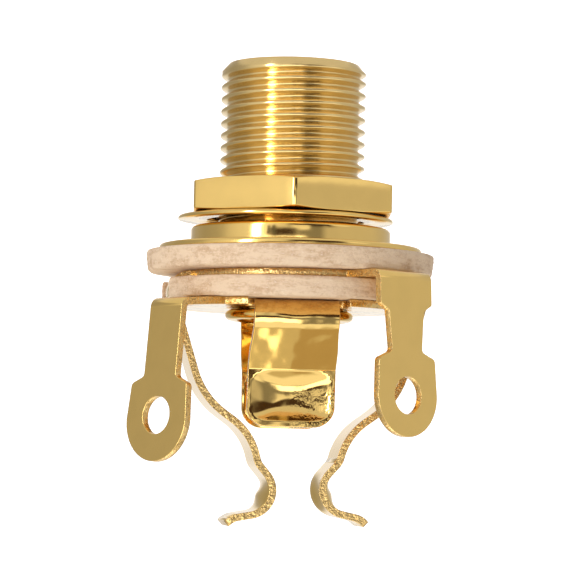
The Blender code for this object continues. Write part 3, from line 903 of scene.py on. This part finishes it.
Lug = namedtuple("Lug", "azimuth reach splay length neck neck_width shoulder_width end_width")
TIP_LUG = Lug(35.5, 10.1, 2.8, 9.8, neck=4.7, neck_width=2.65, shoulder_width=4.9, end_width=5.17)
GROUND_LUG = Lug(
    -49.5, 11.05, 5.4, 9.68, neck=4.6, neck_width=2.85, shoulder_width=4.95, end_width=5.3
)
LUG_FOLD, LUG_HOLE, LUG_SLOPE, LUG_CORNER = 0.40, 2.35, 0.45, 0.22


def lug_side(path, root, lug):
    """One side of a solder lug, up from its round end, and how far out the end's centre is."""
    half_neck = lug.neck_width / 2
    flat = root + sum(bend_length(part) for part in path if isinstance(part, Bend))
    flat += sum(part.length for part in path[:-1] if isinstance(part, Straight))
    centre = flat + lug.length - lug.end_width / 2
    shoulder = (flat + lug.neck + LUG_SLOPE / 2, lug.shoulder_width / 2)
    throat = (flat + lug.neck - LUG_SLOPE / 2, half_neck)
    side = arc((centre, 0), lug.end_width / 2, 0, 90, 24)
    side += rounded_corner(side[-1], shoulder, throat, LUG_CORNER)
    side += rounded_corner(shoulder, throat, (flat, half_neck), LUG_CORNER)
    return side, centre


def lug_hole(lug, centre):
    place = tuple(directions(lug.azimuth)[0] * centre)
    return circle(LUG_HOLE / 2, 48, place)


def stamped(outline, holes, thickness, arms, presses, bend_step):
    """A stamping: its flat sheet with each arm bent along its path.

    Its sheared sides use the second finish. Cuts that made no bend are dissolved again.
    """
    bm = slab(outline, holes, [-thickness / 2, thickness / 2])
    bm.normal_update()
    for face in bm.faces:
        face.material_index = int(abs(face.normal.z) < 0.5)
    for arm in arms:
        for distance in cut_places(arm.path, math.degrees(bend_step))[:-1]:
            cut_arm(bm, arm, distance=distance)
    for arm in arms:
        press = presses.get(arm.angle)
        if press:
            press.cut(bm, arm)
        fold_arm(bm, arm, press.depth_at if press else None)
    bmesh.ops.remove_doubles(bm, verts=bm.verts, dist=0.003)
    bmesh.ops.dissolve_limit(
        bm,
        angle_limit=math.radians(0.4),
        verts=bm.verts,
        edges=bm.edges,
        delimit={"MATERIAL"},
    )
    return bm


def add_stamping(bm, node, above, thickness, face, settings):
    level = cad_side(above, "bottom") - SEAT_GAP - thickness / 2
    bmesh.ops.translate(bm, verts=bm.verts, vec=(0, 0, level))
    name = f"{node}_formed"
    edge = sheared_gold(f"{node}_edge", settings.gold)
    piece = linked(name, finished_mesh(name, bm, [face, edge]))
    bevel = piece.modifiers.new("worn edges", "BEVEL")
    bevel.width = settings.contacts.edge
    bevel.segments = 2
    bevel.limit_method = "ANGLE"
    bevel.angle_limit = math.radians(50)
    bevel.use_clamp_overlap = True
    normals = piece.modifiers.new("flat faces", "WEIGHTED_NORMAL")
    normals.keep_sharp = False
    normals.weight = 100
    apply_modifiers(piece)
    declare(piece, "socket", node)


SPRING_WIDTH = 4.4


def spring_path(fold, slope, belly, knee):
    """A tip spring from its disc: down and inwards, round the plug's tip at its crown, and out."""
    return [
        Bend(1.07, fold),
        Straight(slope),
        Bend(5.07, belly),
        Straight(0.74),
        Bend(3.99, knee),
        Bend(1.19, 28.2),
        Straight(0.7),
        Bend(1.58, -119.8),
        Straight(0.94),
        Bend(1.16, 30.9),
        Straight(0.23),
    ]


class JACK_OT_tip_contact(bpy.types.Operator):
    """Form the tip contact: its disc, two long springs and a solder lug"""

    bl_idname = "jack.tip_contact"
    bl_label = "Tip contact"

    def spring(self, path):
        """The flat outline of a spring with this path."""
        half, corner = SPRING_WIDTH / 2, 0.3
        end = SPRING_ROOT + cut_places(path)[-1]
        side = arc((end - corner, half - corner), corner, 0, 90, 6)
        side.append((rim(DISC_RADIUS, half), half))
        return mirrored(side)

    def lug(self, path, root):
        """The lug's flat outline, which widens in two steps to the disc, and its end's centre."""
        top, half_top, half_waist = 1.5, 4.5 / 2, 3.05 / 2
        side, centre = lug_side(path, root, TIP_LUG)
        flat = centre - TIP_LUG.length + TIP_LUG.end_width / 2
        side += [(flat + top + LUG_SLOPE, half_waist), (flat + top, half_top)]
        side.append((rim(DISC_RADIUS, half_top), half_top))
        return mirrored(side), centre

    def execute(self, context):
        settings = context.scene.jack_socket
        sheet, hole, crown, turn = 0.47, 4.63, 7, math.radians(2)
        root = TIP_LUG.reach - LUG_FOLD - sheet / 2
        path = [Bend(LUG_FOLD, 90 - TIP_LUG.splay), Straight(TIP_LUG.length)]
        lug, centre = self.lug(path, root)
        right = spring_path(104.2, 4.75, 40.0, -40.4)
        left = spring_path(107.2, 5.01, 37.4, -42.7)
        features = [(TIP_LUG.azimuth, lug), (90, self.spring(right)), (270, self.spring(left))]
        holes = [circle(hole, 96), lug_hole(TIP_LUG, centre)]
        arms = [Arm(TIP_LUG.azimuth, root, TIP_LUG.end_width, path)]
        presses = {}
        for side, spring in ((90, right), (270, left)):
            arms.append(Arm(side, SPRING_ROOT, SPRING_WIDTH, spring))
            start, size = cut_places(spring[:crown])[-1], bend_length(spring[crown])
            presses[side] = Cradle(start, size, SPRING_WIDTH / 2, settings.contacts.cradle / MM)
        outline = disc_outline(DISC_RADIUS, features)
        bm = stamped(outline, holes, sheet, arms, presses, settings.contacts.bend_step)
        place = Matrix.Translation((TIP_SET_OVER, 0, 0)) @ Matrix.Rotation(turn, 4, "Z")
        bmesh.ops.transform(bm, verts=bm.verts, matrix=place)
        roughness = settings.gold.gloss + 0.03
        gold = bright_gold("tip_contact_gold", settings.gold.plate, roughness)
        add_stamping(bm, "tip_contact", "upper_fibre_washer", sheet, gold, settings)
        return {"FINISHED"}


PAD_WIDTH = 5.6
PAD_LENGTH = 3.62
TONGUE_ROOT = 4.75
TONGUE_SLOPE = 3.0
GROUND_DROOP = Bend(2.5, 4.0)


class JACK_OT_ground_contact(bpy.types.Operator):
    """Form the ground contact: its disc, two dished contacts and a solder lug"""

    bl_idname = "jack.ground_contact"
    bl_label = "Ground contact"

    def tongue(self, path):
        """The flat outline of a tongue, with its round-cornered pad and the slots at its root."""
        half, half_pad, corner, slot, widening = 2.7, PAD_WIDTH / 2, 1.3, 0.5, 1.5
        end = TONGUE_ROOT + cut_places(path)[-1]
        waist = end - PAD_LENGTH - TONGUE_SLOPE
        side = arc((end - corner, half_pad - corner), corner, 0, 90, 14)
        side += [(waist + widening, half_pad), (waist, half)]
        side += arc((TONGUE_ROOT, half + slot / 2), slot / 2, 270, 90, 12)
        side.append((rim(DISC_RADIUS, half + slot), half + slot))
        return mirrored(side)

    def execute(self, context):
        settings = context.scene.jack_socket
        sheet, hole, hole_rise, flat = 0.48, 3.79, 0.22, 6.9
        lug_reach, tongue_reach, tongue_lean = 2.69, 3.18, -0.018
        end_flange, side_flange = 0.3, 0.12
        fold = Bend(LUG_FOLD, 90 - GROUND_LUG.splay - GROUND_DROOP.degrees)
        tab = GROUND_LUG.reach - LUG_FOLD - sheet / 2 - DISC_RADIUS - bend_length(GROUND_DROOP)
        path = [GROUND_DROOP, Straight(tab), fold, Straight(GROUND_LUG.length)]
        side, centre = lug_side(path, DISC_RADIUS, GROUND_LUG)
        half_neck = GROUND_LUG.neck_width / 2
        side.append((rim(DISC_RADIUS, half_neck), half_neck))
        half_flat = rim(DISC_RADIUS, flat)
        cut_off = [(flat, -half_flat), (flat, half_flat)]
        bent = [Bend(1.0, 127), Straight(TONGUE_SLOPE), Bend(0.35, -41), Straight(PAD_LENGTH)]
        tongue = self.tongue(bent)
        features = [(GROUND_LUG.azimuth, mirrored(side)), (0, tongue), (90, cut_off)]
        features += [(180, tongue), (270, cut_off)]
        holes = [circle(hole, 96), lug_hole(GROUND_LUG, centre - hole_rise)]
        arms = [Arm(GROUND_LUG.azimuth, DISC_RADIUS, lug_reach, path)]
        arms += [Arm(turn, TONGUE_ROOT, tongue_reach, bent, tongue_lean) for turn in (0, 180)]
        pad = cut_places(bent)[-1] - PAD_LENGTH
        size, half_width = PAD_LENGTH - end_flange, PAD_WIDTH / 2 - side_flange
        dish = Dish(pad, size, half_width, settings.contacts.dish / MM)
        outline = disc_outline(DISC_RADIUS, features)
        step = settings.contacts.bend_step
        bm = stamped(outline, holes, sheet, arms, {0: dish, 180: dish}, step)
        plate, gloss = settings.gold.plate, settings.gold.gloss
        gold = bright_gold("ground_contact_gold", plate, gloss, pressed=True)
        add_stamping(bm, "ground_contact", "lower_fibre_washer", sheet, gold, settings)
        return {"FINISHED"}


# The studio's walls: degrees round from the camera, to its right where positive, and brightness.
# The narrow bright strip is the main light.
WALLS = [
    (-180, 1.00),
    (-168, 0.95),
    (-156, 0.46),
    (-116, 0.38),
    (-95, 0.44),
    (-86, 0.50),
    (-74, 0.72),
    (-64, 0.82),
    (-46, 0.92),
    (-42, 12.0),
    (-38, 12.0),
    (-33, 1.30),
    (-18, 0.95),
    (-4, 0.75),
    (6, 0.45),
    (12, 0.27),
    (34, 0.27),
    (42, 0.60),
    (60, 0.62),
    (108, 0.62),
    (130, 0.55),
    (156, 0.55),
    (168, 0.95),
    (180, 1.00),
]
BRIGHTEST = 12.0

# Cards and dark cloths before the walls. A height is the sine of the angle above the horizon.
WHITE = (1.0, 1.0, 1.0)
AMBER = (1.0, 0.62, 0.4)
PATCH_PARTS = "azimuth half_width height half_height brightness tint"
Patch = namedtuple("Patch", PATCH_PARTS, defaults=[WHITE])
PATCHES = [
    Patch(0, 180, 0.85, 0.25, 0.72),
    Patch(0, 180, -0.95, 0.25, 0.66, (1.0, 0.93, 0.75)),
    Patch(-15, 25, -0.24, 0.14, 2.80),
    Patch(-10, 34, -0.64, 0.14, 1.10),
    Patch(-34, 14, -0.935, 0.05, 2.40, (1.0, 0.95, 0.8)),
    Patch(44, 14, -0.93, 0.04, 0.50, (1.0, 0.8, 0.5)),
    Patch(60, 24, -0.50, 0.14, 1.20),
    Patch(54, 14, 0.42, 0.06, 1.00),
    Patch(180, 50, -0.90, 0.06, 2.60),
    Patch(25, 20, 0.40, 0.17, 0.06, AMBER),
    Patch(11, 7, 0.16, 0.02, 1.05),
    Patch(-9, 10, 0.03, 0.07, 0.06, AMBER),
    Patch(-19, 1.4, 0.08, 0.07, 0.12),
    Patch(-25, 1.4, 0.08, 0.07, 0.15),
]
SOFT_DEGREES = 12.0
SOFT_HEIGHT = 0.08
CAMERA_AZIMUTH = math.radians(-5.5)


class JACK_OT_stage(bpy.types.Operator):
    """Set up the pale floor, the studio's soft surround and the camera"""

    bl_idname = "jack.stage"
    bl_label = "Studio and camera"

    def surround(self, strength):
        """Lights the object from a room of soft walls and the patches before them."""
        world = bpy.data.worlds.new("studio")
        bpy.context.scene.world = world
        world.use_nodes = True
        board = Board(world.node_tree)
        back = world.node_tree.nodes["Background"]
        x, y, z = board.axes(board.node("ShaderNodeTexCoord", output="Generated"))
        turn = ((board.math("ARCTAN2", x, -y) - CAMERA_AZIMUTH) / math.tau + 0.5) % 1.0
        stops = [(degrees / 360 + 0.5, value / BRIGHTEST) for degrees, value in WALLS]
        look = board.node("ShaderNodeValToRGB", {"stops": stops}, {0: turn})
        for patch in PATCHES:
            across = abs((turn * 360 - patch.azimuth) % 360.0 - 180.0)
            up = abs(z - patch.height)
            wide = patch.half_width + min(SOFT_DEGREES, patch.half_width)
            tall = patch.half_height + SOFT_HEIGHT
            mask = board.smooth(across, low=wide, high=patch.half_width)
            mask = mask * board.smooth(up, low=tall, high=patch.half_height)
            look = board.mix(mask, look, shaded(patch.tint, patch.brightness / BRIGHTEST))
        board.feed(back.inputs["Color"], look)
        back.inputs["Strength"].default_value = BRIGHTEST * strength

    def sweep(self):
        """A round floor that curves up into a backdrop on every side, open at the top."""
        low, reach, radius, top = -62.0, 900.0, 300.0, 900.0
        line = [(1.0, low)]
        line += [(reach + r, low + radius + z) for r, z in arc((0, 0), radius, -90, 0, 12)]
        line.append((reach + radius, top))
        bm = bmesh.new()
        rings = [[bm.verts.new((x, y, z)) for x, y in circle(r, 96)] for r, z in line]
        bm.faces.new(rings[0])
        for above, ring in zip(rings, rings[1:]):
            for j in range(len(ring)):
                bm.faces.new((above[j - 1], above[j], ring[j], ring[j - 1]))
        paper, board = new_finish("pale_paper")
        dress(board, {"Base Color": shaded(WHITE, 0.9), "Roughness": 0.9})
        dress(board, {"Emission Color": rgba(WHITE), "Emission Strength": 0.6})
        dress(board, {"Specular IOR Level": 0.1})
        floor = linked("pale_sweep", finished_mesh("pale_sweep", bm, [paper]))
        floor.visible_glossy = False
        floor.visible_diffuse = False
        floor.visible_shadow = False

    def camera(self, settings):
        azimuth, out, level = CAMERA_AZIMUTH, settings.distance, -14.95 * MM
        pitch, roll = math.radians(3.58), math.radians(1.25)
        data = bpy.data.cameras.new("photo camera")
        data.lens = settings.lens
        data.shift_x, data.shift_y = -0.0027, -0.0025
        data.clip_start, data.clip_end = 0.01, 10
        camera = linked("photo camera", data)
        camera.location = (math.sin(azimuth) * out, -math.cos(azimuth) * out, level)
        aim = Matrix.Rotation(azimuth, 3, "Z") @ Matrix.Rotation(math.pi / 2 + pitch, 3, "X")
        camera.rotation_euler = (aim @ Matrix.Rotation(roll, 3, "Z")).to_euler()
        bpy.context.scene.camera = camera

    def execute(self, context):
        settings = context.scene.jack_socket.stage
        context.scene.view_settings.view_transform = "Standard"
        self.surround(settings.sky)
        self.sweep()
        self.camera(settings)
        return {"FINISHED"}


class JACK_PT_panel(bpy.types.Panel):
    """Lists the pieces and their settings"""

    bl_idname = "JACK_PT_panel"
    bl_label = "Jack Socket"
    bl_space_type = "VIEW_3D"
    bl_region_type = "UI"
    bl_category = "Jack Socket"

    def draw(self, context):
        settings = context.scene.jack_socket
        for group in ("bushing", "nut", "contacts", "gold", "fibre", "stage"):
            box = self.layout.box()
            for name in getattr(settings, group).__annotations__:
                box.prop(getattr(settings, group), name)
        for operator in OPERATORS:
            self.layout.operator(operator.bl_idname)


SIZES = (BushingSizes, NutSizes, ContactSizes)
GROUPS = SIZES + (GoldFinish, FibreFinish, StageSettings, SocketSettings)
OPERATORS = (
    JACK_OT_bushing,
    JACK_OT_nut,
    JACK_OT_washers,
    JACK_OT_fibre_washers,
    JACK_OT_tip_contact,
    JACK_OT_ground_contact,
    JACK_OT_stage,
)


def register():
    for item in GROUPS + OPERATORS + (JACK_PT_panel,):
        bpy.utils.register_class(item)
    bpy.types.Scene.jack_socket = PointerProperty(type=SocketSettings)


def unregister():
    del bpy.types.Scene.jack_socket
    for item in reversed(GROUPS + OPERATORS + (JACK_PT_panel,)):
        bpy.utils.unregister_class(item)


def main():
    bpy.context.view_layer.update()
    register()
    bpy.ops.jack.bushing()
    bpy.ops.jack.nut()
    bpy.ops.jack.washers()
    bpy.ops.jack.fibre_washers()
    bpy.ops.jack.tip_contact()
    bpy.ops.jack.ground_contact()
    bpy.ops.jack.stage()


if __name__ == "__main__":
    main()
